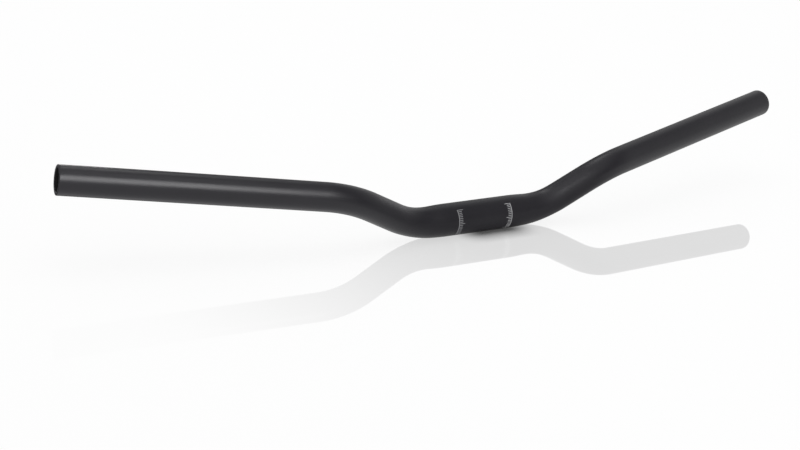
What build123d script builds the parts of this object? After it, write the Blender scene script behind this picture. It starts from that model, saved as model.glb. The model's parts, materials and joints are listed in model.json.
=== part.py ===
from build123d import *

import os
from math import cos, radians, tan

# Riser handlebar: one bent aluminium tube, swelled where the stem holds it and open at both ends.
# Millimetres and degrees. The origin is the middle of the stem seat, +X runs along the seat,
# the grips rise towards +Z and sweep back to the rider at +Y, so the bar's front faces -Y.

# Overall form
bar_width = 660.0  # straight across, from end to end of the tube's centre line
bar_rise = 50.0  # from the seat's axis up to the centre of each end
backsweep = 14.0  # angle of the grips towards the rider, seen from above
upsweep = 5.5  # slope of the grips above level

# Bends, each placed by the corner where two straight runs would meet
lower_corner_across = 61.0  # from the middle of the bar to the corner of seat and riser
upper_corner_across = 119.0  # from the middle of the bar to the corner of riser and grip
riser_lean = 4.5  # how far the upper corner stands in front of the seat's axis
lower_bend_radius = 75.0  # on the centre line
upper_bend_radius = 85.0  # on the centre line

# Tube
seat_diameter = 25.4  # clamped by the stem
grip_diameter = 22.2  # carries grips, levers and shifters
wall_thickness = 2.4
seat_length = 60.0  # at full diameter, half of it on each side of the middle
taper_length = 40.0  # along the centre line, from the seat's end to the grip diameter
taper_sections = 6

# Ends
end_round = 0.8  # on the outer edge of each end
mouth_chamfer = 0.5  # on the inner edge of each end


def corner_points():
    """Middle of the bar, lower corner, upper corner and end of the +X half."""
    grip_across = bar_width / 2 - upper_corner_across
    grip_back = grip_across * tan(radians(backsweep))
    grip_up = grip_across / cos(radians(backsweep)) * tan(radians(upsweep))
    middle = Vector(0, 0, 0)
    lower_corner = Vector(lower_corner_across, 0, 0)
    upper_corner = Vector(upper_corner_across, -riser_lean, bar_rise - grip_up)
    bar_end = upper_corner + Vector(grip_across, grip_back, grip_up)
    return middle, lower_corner, upper_corner, bar_end


def centre_line():
    """Straight seat, lower bend, riser, upper bend and straight grip of the +X half."""
    bends = [lower_bend_radius, upper_bend_radius]
    return Wire(FilletPolyline(*corner_points(), radius=bends).edges())


def point_along(line, run):
    """Place on the centre line at a run measured from the middle of the bar."""
    return line.position_at(run, position_mode=PositionMode.LENGTH)


def section(line, run, radius):
    """Round section across the centre line, turned alike wherever it stands on the lower bend."""
    middle, lower_corner, upper_corner, _ = corner_points()
    bend_normal = (lower_corner - middle).cross(upper_corner - lower_corner)
    heading = line.tangent_at(run, position_mode=PositionMode.LENGTH)
    return Plane(point_along(line, run), x_dir=bend_normal, z_dir=heading) * Circle(radius)


def tapered_run(line, inset):
    """Length that narrows from seat to grip in a smooth S along the lower bend."""
    taper_start = seat_length / 2
    sections = []
    for index in range(taper_sections):
        share = index / (taper_sections - 1)
        blend = share * share * (3 - 2 * share)
        diameter = seat_diameter + (grip_diameter - seat_diameter) * blend
        sections.append(section(line, taper_start + share * taper_length, diameter / 2 - inset))
    path = line.trim(point_along(line, taper_start), point_along(line, taper_start + taper_length))
    return sweep(sections, path, multisection=True)


def grip_run(line, inset):
    """Rest of the tube at grip diameter, through the upper bend to the end of the bar."""
    run_start = seat_length / 2 + taper_length
    path = line.trim(point_along(line, run_start), line.position_at(1))
    return sweep(section(line, run_start, grip_diameter / 2 - inset), path)


def rod(inset):
    """Solid rod along the whole bar, smaller all round by the inset."""
    line = centre_line()
    seat = Cylinder(seat_diameter / 2 - inset, seat_length, rotation=(0, 90, 0))
    half = tapered_run(line, inset) + grip_run(line, inset)
    return seat + half + mirror(half, about=Plane.YZ)


def end_rings(tube):
    """Flat ring at each end: the only flat faces of the tube."""
    return tube.faces().filter_by(GeomType.PLANE)


def handlebar():
    """Tube of one wall thickness, with rounded ends and chamfered mouths."""
    tube = rod(0) - rod(wall_thickness)
    outer_edges = [ring.outer_wire().edge() for ring in end_rings(tube)]
    tube = fillet(outer_edges, end_round)
    mouth_edges = [ring.inner_wires()[0].edge() for ring in end_rings(tube)]
    return chamfer(mouth_edges, mouth_chamfer)


os.makedirs("parts", exist_ok=True)
bar = handlebar()
print("volume mm3", round(bar.volume, 1), "centre line mm", round(2 * centre_line().length, 1))
export_step(bar, "parts/handlebar.step")
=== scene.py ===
import json
from math import cos, pi, radians, sin, tan

import bpy
from mathutils import Matrix, Vector


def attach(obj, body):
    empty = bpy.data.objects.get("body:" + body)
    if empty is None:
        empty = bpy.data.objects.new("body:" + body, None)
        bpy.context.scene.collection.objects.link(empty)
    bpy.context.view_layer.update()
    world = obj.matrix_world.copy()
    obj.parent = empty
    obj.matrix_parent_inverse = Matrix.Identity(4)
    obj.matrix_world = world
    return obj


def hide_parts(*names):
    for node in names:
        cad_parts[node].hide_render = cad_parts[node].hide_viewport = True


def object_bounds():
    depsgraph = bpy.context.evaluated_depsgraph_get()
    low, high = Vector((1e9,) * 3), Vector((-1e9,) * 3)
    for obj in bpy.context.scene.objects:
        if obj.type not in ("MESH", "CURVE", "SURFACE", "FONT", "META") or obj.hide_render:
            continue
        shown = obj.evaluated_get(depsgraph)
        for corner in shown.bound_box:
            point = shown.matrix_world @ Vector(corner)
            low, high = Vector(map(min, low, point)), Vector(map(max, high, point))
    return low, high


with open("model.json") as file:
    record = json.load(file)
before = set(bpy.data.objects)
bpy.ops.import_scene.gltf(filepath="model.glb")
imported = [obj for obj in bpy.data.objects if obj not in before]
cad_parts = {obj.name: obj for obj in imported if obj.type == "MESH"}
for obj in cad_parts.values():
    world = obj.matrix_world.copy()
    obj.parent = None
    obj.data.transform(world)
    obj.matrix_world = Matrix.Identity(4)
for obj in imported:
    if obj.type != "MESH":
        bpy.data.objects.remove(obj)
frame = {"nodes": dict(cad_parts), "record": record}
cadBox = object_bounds()
mounts = {mount["name"]: mount for mount in frame["record"]["mounts"]}
print("frame loaded:", ", ".join(sorted(frame["nodes"])))


def mountSize(mountName, size):  # a mount's size in metres
    return mounts[mountName]["dims"][size] / 1000


# Small helpers for node trees

def put(tree, kind, feeds=None, **settings):  # one node, its settings, then its values and links
    node = tree.nodes.new(kind)
    for name, value in settings.items():
        setattr(node, name, value)
    for key, value in (feeds or {}).items():
        if isinstance(value, bpy.types.NodeSocket):
            tree.links.new(value, node.inputs[key])
        else:
            node.inputs[key].default_value = value
    return node


def calc(tree, operation, *values):  # Math node, gives its result
    return put(tree, "ShaderNodeMath", dict(enumerate(values)), operation=operation).outputs[0]


def weighed(tree, first, firstShare, second, secondShare):  # sum of two values by their shares
    return calc(tree, "ADD", calc(tree, "MULTIPLY", first, firstShare),
                calc(tree, "MULTIPLY", second, secondShare))


def greatest(tree, first, second, third):
    return calc(tree, "MAXIMUM", first, calc(tree, "MAXIMUM", second, third))


def vectorCalc(tree, operation, *values):  # Vector Math node, gives its vector
    return put(tree, "ShaderNodeVectorMath", dict(enumerate(values)), operation=operation).outputs[0]


def scaled(tree, vector, factor):
    return put(tree, "ShaderNodeVectorMath", {0: vector, "Scale": factor}, operation="SCALE").outputs[0]


def split(tree, vector):  # a vector's X, Y and Z
    return put(tree, "ShaderNodeSeparateXYZ", {0: vector}).outputs


def joined(tree, x=0.0, y=0.0, z=0.0):  # a vector from its three parts
    return put(tree, "ShaderNodeCombineXYZ", {0: x, 1: y, 2: z}).outputs[0]


def remap(tree, value, low, high, toLow, toHigh, curve="LINEAR"):
    feeds = {"Value": value, 1: low, 2: high, 3: toLow, 4: toHigh}
    return put(tree, "ShaderNodeMapRange", feeds, interpolation_type=curve).outputs[0]


def ease(tree, value, low, high, toLow, toHigh):  # remap along a smooth S
    return remap(tree, value, low, high, toLow, toHigh, "SMOOTHSTEP")


def grade(tree, value, places, levels):  # three levels, eased between the four places
    firstHalf = ease(tree, value, places[0], places[1], levels[0], levels[1])
    return ease(tree, value, places[2], places[3], firstHalf, levels[2])


def mixColours(tree, share, first, second):
    feeds = {0: share, 6: first, 7: second}
    return put(tree, "ShaderNodeMix", feeds, data_type="RGBA").outputs[2]


def openTree(name, kind, takes, gives):  # new group with named sockets
    tree = bpy.data.node_groups.new(name, kind)
    for socketName, socketType, value in takes:
        socket = tree.interface.new_socket(socketName, in_out="INPUT", socket_type=socketType)
        if value is not None:
            socket.default_value = value
    for socketName, socketType in gives:
        tree.interface.new_socket(socketName, in_out="OUTPUT", socket_type=socketType)
    source = tree.nodes.new("NodeGroupInput")
    result = tree.nodes.new("NodeGroupOutput")
    return tree, source.outputs, result.inputs


def openShapeTree(name, settings, firstTakes=()):  # geometry group that takes a piece's sizes and counts
    takes = list(firstTakes)
    takes += [(socketName, "NodeSocketFloat", value) for socketName, value in settings["sizes"].items()]
    takes += [(socketName, "NodeSocketInt", value) for socketName, value in settings["counts"].items()]
    return openTree(name, "GeometryNodeTree", takes, [("Geometry", "NodeSocketGeometry")])


def runTree(pieceName, tree, startMesh, settings):  # evaluate a geometry group once and keep a plain mesh
    piece = bpy.data.objects.new(pieceName, startMesh)
    bpy.context.scene.collection.objects.link(piece)
    modifier = piece.modifiers.new("maker", "NODES")
    modifier.node_group = tree
    values = {**settings["sizes"], **settings["counts"]}
    for item in tree.interface.items_tree:
        if item.in_out == "INPUT" and item.name in values:
            modifier[item.identifier] = values[item.name]
    evaluated = piece.evaluated_get(bpy.context.evaluated_depsgraph_get())
    plainMesh = bpy.data.meshes.new_from_object(evaluated)
    piece.modifiers.remove(modifier)
    piece.data = plainMesh
    plainMesh.name = pieceName
    triangles = sum(len(face.vertices) - 2 for face in plainMesh.polygons)
    print(f"{pieceName}: {triangles} triangles")
    return piece


# Shared surface effect: fine grain, broad patches and lines drawn along the tube

grainNoise = {
    "low": 0.25, "high": 0.75,  # the part of the noise that is stretched over 0 to 1
    "detail": {"Grain": 2.0, "Patches": 3.0, "Lines": 2.0},
    # where a material sets no sizes of its own
    "sizes": {"Grain Size": 0.0003, "Patch Size": 0.03, "Line Pitch": 0.0006, "Line Stretch": 60.0},
}


def makeTubeGrain():
    takesList = [("Place", "NodeSocketVector", None)]
    takesList += [(name, "NodeSocketFloat", value) for name, value in grainNoise["sizes"].items()]
    givesList = [(name, "NodeSocketFloat") for name in grainNoise["detail"]]
    tree, takes, gives = openTree("tubeGrain", "ShaderNodeTree", takesList, givesList)
    along = split(tree, takes["Place"])
    squeezed = calc(tree, "DIVIDE", along["X"], takes["Line Stretch"])
    linePlace = joined(tree, squeezed, along["Y"], along["Z"])
    for output, place, size in (
            ("Grain", takes["Place"], takes["Grain Size"]),
            ("Patches", takes["Place"], takes["Patch Size"]),
            ("Lines", linePlace, takes["Line Pitch"])):
        feeds = {"Vector": place, "Scale": calc(tree, "DIVIDE", 1.0, size),
                 "Detail": grainNoise["detail"][output]}
        noise = put(tree, "ShaderNodeTexNoise", feeds).outputs[0]
        tree.links.new(remap(tree, noise, grainNoise["low"], grainNoise["high"], 0.0, 1.0), gives[output])
    return tree


tubeGrain = makeTubeGrain()
placeName = "blankPlace"  # where a point lay on the straight tube, before it was bent


def startMaterial(name):
    material = bpy.data.materials.new(name)
    material.use_nodes = True
    return material, material.node_tree, material.node_tree.nodes["Principled BSDF"]


def addGrain(tree, sizes):  # the shared effect, laid on the straight tube
    place = put(tree, "ShaderNodeAttribute", attribute_name=placeName).outputs["Vector"]
    grain = put(tree, "ShaderNodeGroup", node_tree=tubeGrain)
    tree.links.new(place, grain.inputs["Place"])
    for socketName, value in sizes.items():
        grain.inputs[socketName].default_value = value
    return place, grain.outputs


def addBump(tree, shader, height, strength, depth):
    bump = put(tree, "ShaderNodeBump", {"Height": height, "Strength": strength, "Distance": depth})
    tree.links.new(bump.outputs[0], shader.inputs["Normal"])


# Satin black coating over a finely blasted tube

coating = {
    "deepBlack": (0.0080, 0.0071, 0.0110, 1.0),
    "paleBlack": (0.0122, 0.0110, 0.0156, 1.0),
    "paintedGlint": (0.0218, 0.0205, 0.0252, 1.0),  # painted glints: a lighter base colour where the blasted grain's noise is highest, standing in for light caught there
    "glintFrom": 0.62, "glintShare": 0.55,  # where on the grain they begin, and how much they show
    "smooth": 0.28, "dull": 0.37,  # roughness
    "patchDulling": 0.55, "lineDulling": 0.45,  # how far patches and lines take it from smooth to dull
    "cutEnd": 0.85,  # roughness of the sawn end faces
    "cutFrom": 0.00064, "cutFull": 0.00024,  # it comes in between these distances from the end
    "grainDepth": 0.000014, "lineRelief": 0.35, "bumpStrength": 0.6,
    "specular": 0.40,
    "grain": {"Grain Size": 0.00028, "Patch Size": 0.045, "Line Pitch": 0.0009, "Line Stretch": 80.0},
}


def makeCoating(tubeLength):
    material, tree, shader = startMaterial("satinBlackCoating")
    place, grain = addGrain(tree, coating["grain"])
    tone = mixColours(tree, grain["Patches"], coating["deepBlack"], coating["paleBlack"])
    # painted glints: the base colour is lightened on the highest grain, as if it caught the light
    glints = remap(tree, grain["Grain"], coating["glintFrom"], 1.0, 0.0, coating["glintShare"])
    tree.links.new(mixColours(tree, glints, tone, coating["paintedGlint"]), shader.inputs["Base Color"])
    mottle = weighed(tree, grain["Patches"], coating["patchDulling"],
                     grain["Lines"], coating["lineDulling"])
    rough = remap(tree, mottle, 0.0, 1.0, coating["smooth"], coating["dull"])
    run = calc(tree, "ABSOLUTE", split(tree, place)["X"])
    tubeEnd = tubeLength / 2
    rough = remap(tree, run, tubeEnd - coating["cutFrom"], tubeEnd - coating["cutFull"],
                  rough, coating["cutEnd"])
    tree.links.new(rough, shader.inputs["Roughness"])
    lineRelief = calc(tree, "MULTIPLY", grain["Lines"], coating["lineRelief"])
    relief = calc(tree, "ADD", grain["Grain"], lineRelief)
    addBump(tree, shader, relief, coating["bumpStrength"], coating["grainDepth"])
    shader.inputs["Specular IOR Level"].default_value = coating["specular"]
    return material


# Bare drawn aluminium inside the tube, with coating blown a little way into each mouth

bore = {
    "bright": (0.52, 0.52, 0.53, 1.0), "stained": (0.34, 0.34, 0.35, 1.0),
    "overspray": (0.005, 0.005, 0.0053, 1.0),
    "sprayFull": 0.022, "sprayEnd": 0.060,  # in from the mouth, as far as it is full and where it ends
    "sprayRagged": 0.012,  # how far its edge runs in and out
    "bareRough": 0.42, "sprayRough": 0.80,
    "lineDepth": 0.00002, "bumpStrength": 0.5,
    "specular": 0.25,
    "grain": {"Grain Size": 0.0005, "Patch Size": 0.012, "Line Pitch": 0.0007, "Line Stretch": 120.0},
}


def makeBareBore(tubeLength):
    material, tree, shader = startMaterial("bareDrawnBore")
    place, grain = addGrain(tree, bore["grain"])
    metal = mixColours(tree, grain["Lines"], bore["stained"], bore["bright"])
    run = calc(tree, "ABSOLUTE", split(tree, place)["X"])
    blown = calc(tree, "ADD", run, calc(tree, "MULTIPLY", grain["Patches"], bore["sprayRagged"]))
    mouth = tubeLength / 2
    spray = ease(tree, blown, mouth - bore["sprayEnd"], mouth - bore["sprayFull"], 0.0, 1.0)
    tree.links.new(mixColours(tree, spray, metal, bore["overspray"]), shader.inputs["Base Color"])
    tree.links.new(calc(tree, "SUBTRACT", 1.0, spray), shader.inputs["Metallic"])
    rough = remap(tree, spray, 0.0, 1.0, bore["bareRough"], bore["sprayRough"])
    tree.links.new(rough, shader.inputs["Roughness"])
    addBump(tree, shader, grain["Lines"], bore["bumpStrength"], bore["lineDepth"])
    shader.inputs["Specular IOR Level"].default_value = bore["specular"]
    return material


# Pale print of the scale on the stem seat

printInk = {
    "fresh": (0.47, 0.47, 0.48, 1.0), "thin": (0.22, 0.22, 0.23, 1.0),
    "patchCover": 0.6, "grainCover": 0.5,  # what patches and grain add to the ink's cover
    "wornShare": 0.15,  # of that cover, left on the -X side of the seat
    "wornSide": -0.02, "freshSide": 0.02,  # along X, from worn to whole
    "smooth": 0.48, "dull": 0.62,  # roughness
    "grainDepth": 0.00001, "bumpStrength": 0.5,
    "grain": {"Grain Size": 0.00022, "Patch Size": 0.006, "Line Pitch": 0.0005, "Line Stretch": 8.0},
}


def makeInk():
    material, tree, shader = startMaterial("paleScaleInk")
    place, grain = addGrain(tree, printInk["grain"])
    cover = weighed(tree, grain["Patches"], printInk["patchCover"],
                    grain["Grain"], printInk["grainCover"])
    across = split(tree, place)["X"]
    worn = remap(tree, across, printInk["wornSide"], printInk["freshSide"], printInk["wornShare"], 1.0)
    cover = calc(tree, "MULTIPLY", cover, worn)
    colour = mixColours(tree, cover, printInk["thin"], printInk["fresh"])
    tree.links.new(colour, shader.inputs["Base Color"])
    rough = remap(tree, grain["Grain"], 0.0, 1.0, printInk["smooth"], printInk["dull"])
    tree.links.new(rough, shader.inputs["Roughness"])
    addBump(tree, shader, grain["Grain"], printInk["bumpStrength"], printInk["grainDepth"])
    return material


# The bar: a straight swelled tube, bent along its centre line

bar = {
    "width": 0.660, "rise": 0.050,  # of the centre line, end to end and seat to end
    "backsweep": 14.0, "upsweep": 5.5,  # degrees
    "lowerCornerAcross": 0.061, "upperCornerAcross": 0.119,
    "riserLean": 0.0045,  # upper corners stand this far in front of the seat
    "boreShare": 0.49,  # points further in than this share of the wall, from its middle, are on the bore
    "sizes": {
        "Lower Bend Radius": 0.075, "Upper Bend Radius": 0.085,
        "Seat Radius": mountSize("stem_seat", "r_mm"), "Grip Radius": mountSize("left_grip", "r_mm"),
        "Wall": mountSize("left_grip", "r_mm") - mountSize("left_bar_end", "r_mm"),
        "Seat Length": mountSize("stem_seat", "length_mm"), "Taper Length": 0.040,
        "End Round": 0.0008, "Mouth Chamfer": 0.0005,
        "Ring Spacing": 0.0022,
        "Spindle": 1e-7,  # radius of the hair-thin ring that the section is turned on
        "Crisp Angle": radians(35.0),  # edges that turn by more stay sharp
    },
    "counts": {"Points Around": 88, "Bend Steps": 48, "Lip Steps": 5, "Chamfer Steps": 1},
}


def barCorners():  # end, upper corner and lower corner on one side, then the other side
    reach = bar["width"] / 2 - bar["upperCornerAcross"]
    back = reach * tan(radians(bar["backsweep"]))
    climb = reach / cos(radians(bar["backsweep"])) * tan(radians(bar["upsweep"]))
    lower = Vector((bar["lowerCornerAcross"], 0.0, 0.0))
    upper = Vector((bar["upperCornerAcross"], -bar["riserLean"], bar["rise"] - climb))
    side = [upper + Vector((reach, back, climb)), upper, lower]
    otherSide = [Vector((-p.x, p.y, p.z)) for p in side]
    return otherSide + side[::-1]


def centreLineLength(corners):  # straight runs, shortened where a bend cuts a corner
    lower = bar["sizes"]["Lower Bend Radius"]
    upper = bar["sizes"]["Upper Bend Radius"]
    radii = (upper, lower, lower, upper)
    length = sum((after - before).length for before, after in zip(corners, corners[1:]))
    for before, corner, after, radius in zip(corners, corners[1:], corners[2:], radii):
        turn = (corner - before).angle(after - corner)
        length += radius * (turn - 2 * tan(turn / 2))
    return length


def makeBarTree(coat, boreMetal, cornerCount):
    tree, takes, gives = openShapeTree("bentTube", bar, [("Corners", "NodeSocketGeometry", None)])
    index = put(tree, "GeometryNodeInputIndex").outputs[0]
    position = put(tree, "GeometryNodeInputPosition").outputs[0]
    here = split(tree, position)

    # centre line: corners rounded to the bend radii
    corners = put(tree, "GeometryNodeMeshToCurve", {0: takes["Corners"]}).outputs[0]
    fromMiddle = calc(tree, "ABSOLUTE", calc(tree, "SUBTRACT", index, (cornerCount - 1) / 2))
    isLower = calc(tree, "LESS_THAN", fromMiddle, 1.0)  # the two next to the middle
    bendRadius = remap(tree, isLower, 0.0, 1.0, takes["Upper Bend Radius"], takes["Lower Bend Radius"])
    bends = put(tree, "GeometryNodeFilletCurve",
                {"Curve": corners, "Count": takes["Bend Steps"], "Radius": bendRadius}, mode="POLY")
    centreLine = bends.outputs[0]
    tubeLength = put(tree, "GeometryNodeCurveLength", {0: centreLine}).outputs[0]

    # wall of the straight tube in section: X is outwards, Y runs along the tube
    sheet = put(tree, "GeometryNodeCurvePrimitiveQuadrilateral",
                {"Width": takes["Wall"], "Height": tubeLength}, mode="RECTANGLE").outputs[0]
    isOuter = calc(tree, "GREATER_THAN", here["X"], 0.0)
    lipRadius = calc(tree, "MULTIPLY", isOuter, takes["End Round"])
    lips = put(tree, "GeometryNodeFilletCurve",
               {"Curve": sheet, "Count": takes["Lip Steps"], "Radius": lipRadius}, mode="POLY").outputs[0]
    innerFace = calc(tree, "MULTIPLY", takes["Wall"], -bar["boreShare"])
    isInner = calc(tree, "LESS_THAN", here["X"], innerFace)
    mouthRadius = calc(tree, "MULTIPLY", isInner, takes["Mouth Chamfer"])
    mouths = put(tree, "GeometryNodeFilletCurve",
                 {"Curve": lips, "Count": takes["Chamfer Steps"], "Radius": mouthRadius},
                 mode="POLY").outputs[0]
    nextPoint = put(tree, "GeometryNodeOffsetPointInCurve", {0: index, 1: 1}).outputs["Point Index"]
    nextPlace = put(tree, "GeometryNodeFieldAtIndex", {0: position, 1: nextPoint},
                    data_type="FLOAT_VECTOR", domain="POINT").outputs[0]
    gap = put(tree, "ShaderNodeVectorMath", {0: position, 1: nextPlace},
              operation="DISTANCE").outputs["Value"]
    cuts = calc(tree, "FLOOR", calc(tree, "DIVIDE", gap, takes["Ring Spacing"]))
    section = put(tree, "GeometryNodeSubdivideCurve", {0: mouths, "Cuts": cuts}).outputs[0]
    marked = put(tree, "GeometryNodeCaptureAttribute", {0: section}, domain="POINT")
    marked.capture_items.new("BOOLEAN", "Bore")
    tree.links.new(isInner, marked.inputs[1])

    # the middle is swelled for the stem, inside and outside alike
    seatEnd = calc(tree, "MULTIPLY", takes["Seat Length"], 0.5)
    taperEnd = calc(tree, "ADD", seatEnd, takes["Taper Length"])
    extra = calc(tree, "SUBTRACT", takes["Seat Radius"], takes["Grip Radius"])
    swell = ease(tree, calc(tree, "ABSOLUTE", here["Y"]), seatEnd, taperEnd, extra, 0.0)
    midWall = calc(tree, "SUBTRACT", takes["Grip Radius"], calc(tree, "MULTIPLY", takes["Wall"], 0.5))
    outwards = joined(tree, calc(tree, "ADD", midWall, swell))
    swelled = put(tree, "GeometryNodeSetPosition", {0: marked.outputs[0], "Offset": outwards}).outputs[0]

    # turned into a tube about Z, and each point's place on it kept
    ring = put(tree, "GeometryNodeCurvePrimitiveCircle",
               {"Resolution": takes["Points Around"], "Radius": takes["Spindle"]},
               mode="RADIUS").outputs[0]
    tube = put(tree, "GeometryNodeCurveToMesh", {0: ring, 1: swelled}).outputs[0]
    blank = joined(tree, here["Z"], here["X"], here["Y"])
    kept = put(tree, "GeometryNodeStoreNamedAttribute", {0: tube, "Name": placeName},
               data_type="FLOAT_VECTOR", domain="POINT")
    tree.links.new(blank, kept.inputs["Value"])

    # bent: each ring moves to its run along the centre line
    run = calc(tree, "ADD", here["Z"], calc(tree, "MULTIPLY", tubeLength, 0.5))
    onLine = put(tree, "GeometryNodeSampleCurve", {"Curves": centreLine, "Length": run},
                 mode="LENGTH").outputs
    level = vectorCalc(tree, "CROSS_PRODUCT", (0.0, 0.0, 1.0), onLine["Tangent"])
    aside = vectorCalc(tree, "NORMALIZE", level)
    upright = vectorCalc(tree, "CROSS_PRODUCT", onLine["Tangent"], aside)
    across = vectorCalc(tree, "ADD", scaled(tree, aside, here["X"]), scaled(tree, upright, here["Y"]))
    place = vectorCalc(tree, "ADD", onLine["Position"], across)
    bent = put(tree, "GeometryNodeSetPosition", {0: kept.outputs[0], "Position": place}).outputs[0]

    # smooth all over, crisp where the mouth is chamfered
    soft = put(tree, "GeometryNodeSetShadeSmooth",
               {0: bent, "Shade Smooth": True}, domain="FACE").outputs[0]
    edgeAngle = put(tree, "GeometryNodeInputMeshEdgeAngle").outputs[0]
    isCrisp = calc(tree, "GREATER_THAN", edgeAngle, takes["Crisp Angle"])
    crisp = put(tree, "GeometryNodeSetShadeSmooth",
                {0: soft, "Selection": isCrisp, "Shade Smooth": False}, domain="EDGE").outputs[0]
    real = put(tree, "GeometryNodeRealizeInstances", {0: crisp}).outputs[0]
    coated = put(tree, "GeometryNodeSetMaterial", {0: real, "Material": coat}).outputs[0]
    bored = put(tree, "GeometryNodeSetMaterial",
                {0: coated, "Selection": marked.outputs[1], "Material": boreMetal}).outputs[0]
    tree.links.new(bored, gives["Geometry"])
    return tree


def makeBar():
    corners = barCorners()
    wire = bpy.data.meshes.new("barCorners")
    wire.from_pydata(corners, [(i, i + 1) for i in range(len(corners) - 1)], [])
    tubeLength = centreLineLength(corners)
    tree = makeBarTree(makeCoating(tubeLength), makeBareBore(tubeLength), len(corners))
    return runTree("bentBar", tree, wire, bar)


bentBar = makeBar()
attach(bentBar, "root")
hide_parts("handlebar")

# Printed scale at each side of the stem seat: drawn flat, then wrapped round the tube

scale = {
    "sizes": {
        "Tube Radius": mountSize("stem_seat", "r_mm"),
        "Middle": radians(1.0), "Span": radians(100.0),  # up from the seat's front, and from end to end
        "Line Place": 0.0247, "Line Width": 0.0007, "Gap": 0.0003,
        "Tick Length": 0.0027, "Long Tick Extra": 0.0018, "Tick Width": 0.0005,
        "Thickness": 0.00010, "Proud": 0.00004,
    },
    "counts": {"Tick Count": 17, "Long Every": 8, "Line Points": 65},
}


def makeScaleTree(ink):
    tree, takes, gives = openShapeTree("wrappedScale", scale)
    index = put(tree, "GeometryNodeInputIndex").outputs[0]
    position = put(tree, "GeometryNodeInputPosition").outputs[0]
    here = split(tree, position)
    height = calc(tree, "MULTIPLY", takes["Span"], takes["Tube Radius"])  # of the flat print

    # ticks on a flat row, some of them longer
    lastTick = calc(tree, "SUBTRACT", takes["Tick Count"], 1.0)
    row = put(tree, "GeometryNodeMeshLine", {"Count": takes["Tick Count"]}, mode="OFFSET").outputs[0]
    isLong = calc(tree, "LESS_THAN", calc(tree, "MODULO", index, takes["Long Every"]), 0.5)
    longExtra = calc(tree, "MULTIPLY", isLong, takes["Long Tick Extra"])
    tickLength = calc(tree, "ADD", takes["Tick Length"], longExtra)
    halfLine = calc(tree, "MULTIPLY", takes["Line Width"], 0.5)
    lineInside = calc(tree, "SUBTRACT", takes["Line Place"], halfLine)
    tickOuter = calc(tree, "SUBTRACT", lineInside, takes["Gap"])
    tickMiddle = calc(tree, "SUBTRACT", tickOuter, calc(tree, "MULTIPLY", tickLength, 0.5))
    share = calc(tree, "SUBTRACT", calc(tree, "DIVIDE", index, lastTick), 0.5)
    tickPlace = joined(tree, tickMiddle, calc(tree, "MULTIPLY", share, height))
    placed = put(tree, "GeometryNodeSetPosition", {0: row, "Position": tickPlace}).outputs[0]
    plate = put(tree, "GeometryNodeMeshCube", {"Size": (1.0, 1.0, 1.0)}).outputs[0]
    tickSize = joined(tree, tickLength, takes["Tick Width"], takes["Thickness"])
    ticks = put(tree, "GeometryNodeInstanceOnPoints",
                {"Points": placed, "Instance": plate, "Scale": tickSize}).outputs[0]

    # the line that they stand on, finely divided so that it wraps round
    lineHeight = calc(tree, "ADD", height, takes["Tick Width"])
    lineSize = joined(tree, takes["Line Width"], lineHeight, takes["Thickness"])
    line = put(tree, "GeometryNodeMeshCube",
               {"Size": lineSize, "Vertices Y": takes["Line Points"]}).outputs[0]
    lineMove = joined(tree, takes["Line Place"])
    moved = put(tree, "GeometryNodeTransform", {0: line, "Translation": lineMove}).outputs[0]
    side = put(tree, "GeometryNodeJoinGeometry")
    tree.links.new(moved, side.inputs[0])
    tree.links.new(ticks, side.inputs[0])

    # the other side is the same print turned half round
    turned = put(tree, "GeometryNodeTransform",
                 {0: side.outputs[0], "Rotation": (0.0, 0.0, pi)}).outputs[0]
    both = put(tree, "GeometryNodeJoinGeometry")
    tree.links.new(turned, both.inputs[0])
    tree.links.new(side.outputs[0], both.inputs[0])
    real = put(tree, "GeometryNodeRealizeInstances", {0: both.outputs[0]}).outputs[0]

    # wrapped: height becomes an angle round the seat's front
    angle = calc(tree, "ADD", takes["Middle"], calc(tree, "DIVIDE", here["Y"], takes["Tube Radius"]))
    lift = calc(tree, "SUBTRACT", takes["Proud"], calc(tree, "MULTIPLY", takes["Thickness"], 0.5))
    radius = calc(tree, "ADD", takes["Tube Radius"], calc(tree, "ADD", here["Z"], lift))
    front = calc(tree, "MULTIPLY", calc(tree, "MULTIPLY", radius, -1.0), calc(tree, "COSINE", angle))
    upward = calc(tree, "MULTIPLY", radius, calc(tree, "SINE", angle))
    onTube = joined(tree, here["X"], front, upward)
    wrapped = put(tree, "GeometryNodeSetPosition", {0: real, "Position": onTube}).outputs[0]
    kept = put(tree, "GeometryNodeStoreNamedAttribute", {0: wrapped, "Name": placeName},
               data_type="FLOAT_VECTOR", domain="POINT")
    tree.links.new(position, kept.inputs["Value"])
    inked = put(tree, "GeometryNodeSetMaterial", {0: kept.outputs[0], "Material": ink}).outputs[0]
    tree.links.new(inked, gives["Geometry"])
    return tree


def makeScale():
    return runTree("stemScale", makeScaleTree(makeInk()), bpy.data.meshes.new("blankScale"), scale)


stemScale = makeScale()
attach(stemScale, "root")

# Stage: pale floor that the seat stands on, white to the camera and faintly glossy

pureWhite = (1.0, 1.0, 1.0, 1.0)  # of the seen floor, its gloss and the room

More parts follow.
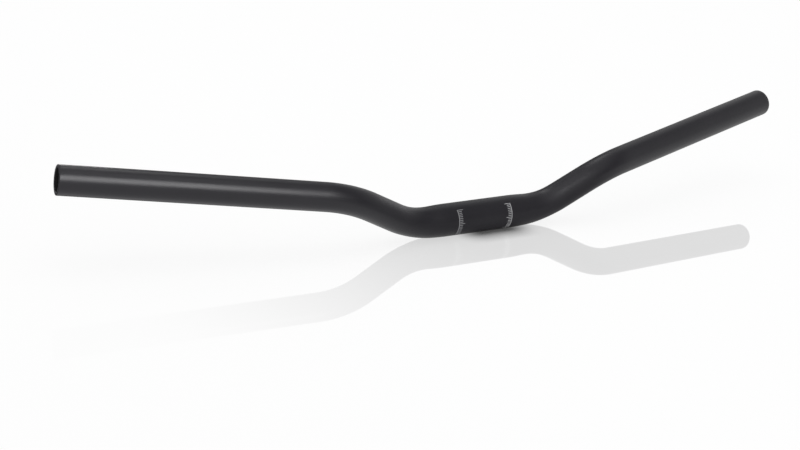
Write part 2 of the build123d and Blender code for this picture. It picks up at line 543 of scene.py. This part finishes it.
stage = {
    "floorSize": 40.0, "floorDrop": 0.00005,  # it lies that little below the seat
    "white": (0.95, 0.95, 0.95, 1.0),
    "shadowShare": 0.18,  # how much of the lit floor, with the bar's shadow, the camera sees
    "contactReach": 0.018, "contactDark": 0.10,  # close shadow where the seat touches
    "contactMiddle": 0.015, "contactFull": 0.012, "contactEnd": 0.039,  # along X, and off that middle
    "shutIn": 0.25, "openSky": 0.95,  # share of open sky where that shadow is full, and where it ends
    "skySamples": 16,
    "mirrorLevels": (1.0, 0.38, 0.68),  # how bright the coating mirrors the floor: left, seat and right
    "mirrorPlaces": (-0.10, -0.01, 0.09, 0.26),  # along X: left ends, seat starts and ends, right starts
    "mirrorBehind": 0.15,  # share of that left behind the bar
    "behindFrom": 0.00, "behindTo": 0.045,  # back from the bar's line, along Y
    "glossNear": 0.27, "glossFar": 0.01,  # mirror share under the seat and beyond the left end
    "glossFrom": -0.33, "glossTo": 0.015,  # where along X the one turns into the other
}


def makeFloorMaterial():
    material = bpy.data.materials.new("paleFloor")
    material.use_nodes = True
    tree = material.node_tree
    tree.nodes.clear()
    path = put(tree, "ShaderNodeLightPath").outputs
    spot = split(tree, put(tree, "ShaderNodeTexCoord").outputs["Object"])
    across = spot["X"]
    lit = put(tree, "ShaderNodeBsdfDiffuse", {"Color": stage["white"]}).outputs[0]

    # close shadow under the seat
    sky = put(tree, "ShaderNodeAmbientOcclusion", {"Distance": stage["contactReach"]},
              samples=stage["skySamples"]).outputs["AO"]
    offMiddle = calc(tree, "ABSOLUTE", calc(tree, "SUBTRACT", across, stage["contactMiddle"]))
    darkest = ease(tree, offMiddle, stage["contactFull"], stage["contactEnd"], stage["contactDark"], 1.0)
    level = remap(tree, sky, stage["shutIn"], stage["openSky"], darkest, 1.0)

    # what the coating mirrors is dimmer under the seat and behind the bar
    mirrorLevel = grade(tree, across, stage["mirrorPlaces"], stage["mirrorLevels"])
    swept = calc(tree, "SUBTRACT", calc(tree, "ABSOLUTE", across), bar["upperCornerAcross"])
    barLine = calc(tree, "MULTIPLY", calc(tree, "MAXIMUM", swept, 0.0), tan(radians(bar["backsweep"])))
    fromBar = calc(tree, "SUBTRACT", spot["Y"], barLine)
    behind = ease(tree, fromBar, stage["behindFrom"], stage["behindTo"], 1.0, stage["mirrorBehind"])
    mirrorLevel = calc(tree, "MULTIPLY", mirrorLevel, behind)
    level = calc(tree, "MULTIPLY", level, remap(tree, path["Is Glossy Ray"], 0.0, 1.0, 1.0, mirrorLevel))

    # white where it is seen, with a share of the lit floor and a sharp gloss for the camera alone
    white = put(tree, "ShaderNodeEmission", {"Color": pureWhite, "Strength": level}).outputs[0]
    seen = greatest(tree, path["Is Camera Ray"], path["Is Glossy Ray"], path["Is Transmission Ray"])
    whiteShare = calc(tree, "MULTIPLY", seen, 1.0 - stage["shadowShare"])
    pale = put(tree, "ShaderNodeMixShader", {0: whiteShare, 1: lit, 2: white}).outputs[0]
    gloss = put(tree, "ShaderNodeBsdfGlossy", {"Color": pureWhite, "Roughness": 0.0}).outputs[0]
    glossShare = ease(tree, across, stage["glossFrom"], stage["glossTo"],
                      stage["glossFar"], stage["glossNear"])
    cameraGloss = calc(tree, "MULTIPLY", path["Is Camera Ray"], glossShare)
    mirrored = put(tree, "ShaderNodeMixShader", {0: cameraGloss, 1: pale, 2: gloss}).outputs[0]
    put(tree, "ShaderNodeOutputMaterial", {"Surface": mirrored})
    return material


def makeFloor():
    half = stage["floorSize"] / 2
    level = cadBox[0].z - stage["floorDrop"]
    corners = [(-half, -half, level), (half, -half, level), (half, half, level), (-half, half, level)]
    mesh = bpy.data.meshes.new("paleFloor")
    mesh.from_pydata(corners, [], [(0, 1, 2, 3)])
    floor = bpy.data.objects.new("paleFloor", mesh)
    bpy.context.scene.collection.objects.link(floor)
    mesh.materials.append(makeFloorMaterial())
    return floor


makeFloor()
print("floor laid")

# Camera at the photograph's angle, fitted to the outline of the bar in a frame 800 pixels wide

camera = {
    "azimuth": -33.948, "elevation": 19.232, "roll": 4.686,  # degrees
    "distance": 1.49157, "aside": -0.05889, "lift": -0.01218,  # from the middle of the seat
    "focalPixels": 1917.54, "framePixels": 800,
    "sensor": 36.0,  # its width in millimetres
    "nearest": 0.01,  # how close it can see
}


def makeCamera():
    turn, tilt, roll = (radians(camera[name]) for name in ("azimuth", "elevation", "roll"))
    back = Vector((sin(turn) * cos(tilt), -cos(turn) * cos(tilt), sin(tilt)))
    right = Vector((0, 0, 1)).cross(back).normalized()
    up = back.cross(right)
    axisX = right * cos(roll) + up * sin(roll)
    axisY = up * cos(roll) - right * sin(roll)
    place = right * camera["aside"] + up * camera["lift"] + back * camera["distance"]
    data = bpy.data.cameras.new("photoCamera")
    data.sensor_width = camera["sensor"]
    data.lens = camera["focalPixels"] * camera["sensor"] / camera["framePixels"]
    data.clip_start = camera["nearest"]
    eye = bpy.data.objects.new("photoCamera", data)
    eye.matrix_world = Matrix.Translation(place) @ Matrix((axisX, axisY, back)).transposed().to_4x4()
    bpy.context.scene.collection.objects.link(eye)
    bpy.context.scene.camera = eye


makeCamera()
bpy.context.scene.view_settings.view_transform = "Standard"
print("camera placed")

# Room: white to the camera, pale on matt surfaces, and graded where the coating mirrors it

room = {
    "mattLevel": 0.85,
    "frontLevels": (0.78, 0.24, 0.58),  # mirrored in front of the bar: left, a dim stretch and right
    "frontPlaces": (0.28, 0.52, 0.62, 0.85),  # along X: left ends, dim starts and ends, right starts
    "backFrom": 0.15, "backTo": 0.5,  # directions along Y where the backdrop takes over
    "backLevels": (0.90, 0.18, 0.70),  # the same for its lower part
    "backPlaces": (-0.08, 0.12, 0.48, 0.66),
    "backHigh": 0.45, "highFrom": 0.38, "highTo": 0.65,  # its upper part, by directions along Z
}


def makeRoom():
    world = bpy.data.worlds.new("paleRoom")
    bpy.context.scene.world = world
    world.use_nodes = True
    tree = world.node_tree
    path = put(tree, "ShaderNodeLightPath").outputs
    heading = split(tree, put(tree, "ShaderNodeTexCoord").outputs["Generated"])
    front = grade(tree, heading["X"], room["frontPlaces"], room["frontLevels"])
    backLow = grade(tree, heading["X"], room["backPlaces"], room["backLevels"])
    back = ease(tree, heading["Z"], room["highFrom"], room["highTo"], backLow, room["backHigh"])
    mirrored = ease(tree, heading["Y"], room["backFrom"], room["backTo"], front, back)
    level = remap(tree, path["Is Glossy Ray"], 0.0, 1.0, room["mattLevel"], mirrored)
    # singular rays come from the floor's sharp gloss, which mirrors white
    seen = greatest(tree, path["Is Camera Ray"], path["Is Transmission Ray"], path["Is Singular Ray"])
    background = tree.nodes["Background"]
    background.inputs["Color"].default_value = pureWhite
    tree.links.new(remap(tree, seen, 0.0, 1.0, level, 1.0), background.inputs["Strength"])


makeRoom()
print("room lit")

# Softboxes: one overhead for the matt surfaces, the rest mirrored by the bar alone, as streaks along it

softboxes = {
    "overhead": {"place": (0.1, 0.2, 1.9), "aim": (0.0, 0.0, 0.0),
                 "size": (2.2, 1.6), "watts": 7.0, "mirrored": False},
    "slim": {"place": (-0.360, -0.45, 0.405), "aim": (-0.310, 0.0, 0.04),
             "size": (0.64, 0.34), "watts": 4.2, "mirrored": True},
    "top": {"place": (-0.12, -0.06, 0.60), "aim": (-0.12, -0.06, 0.0),
            "size": (0.30, 0.20), "watts": 0.12, "mirrored": True},
    "back": {"place": (-0.32, 0.80, 0.22), "aim": (-0.32, 0.0, 0.03),
             "size": (0.80, 0.10), "watts": 1.6, "mirrored": True},
    "side": {"place": (1.30, 0.40, 0.17), "aim": (-0.10, 0.02, 0.03),
             "size": (0.70, 0.28), "watts": 1.8, "mirrored": True},
    "rear": {"place": (0.87, 1.58, 2.52), "aim": (0.20, 0.02, 0.04),
             "size": (0.40, 1.60), "watts": 4.0, "mirrored": True},
}


def makeSoftbox(name, box, barOnly):
    data = bpy.data.lights.new(name + "Softbox", "AREA")
    data.shape = "RECTANGLE"
    data.size, data.size_y = box["size"]
    data.energy = box["watts"]
    lamp = bpy.data.objects.new(name + "Softbox", data)
    lamp.visible_diffuse = not box["mirrored"]
    lamp.visible_glossy = box["mirrored"]
    lamp.visible_camera = False
    if box["mirrored"]:
        lamp.light_linking.receiver_collection = barOnly
    place = Vector(box["place"])
    facing = (Vector(box["aim"]) - place).to_track_quat("-Z", "Y")
    lamp.matrix_world = Matrix.Translation(place) @ facing.to_matrix().to_4x4()
    bpy.context.scene.collection.objects.link(lamp)


def makeSoftboxes():
    barOnly = bpy.data.collections.new("barOnly")
    for piece in (bentBar, stemScale):
        barOnly.objects.link(piece)
    for name, box in softboxes.items():
        makeSoftbox(name, box, barOnly)


makeSoftboxes()
print("softboxes set")
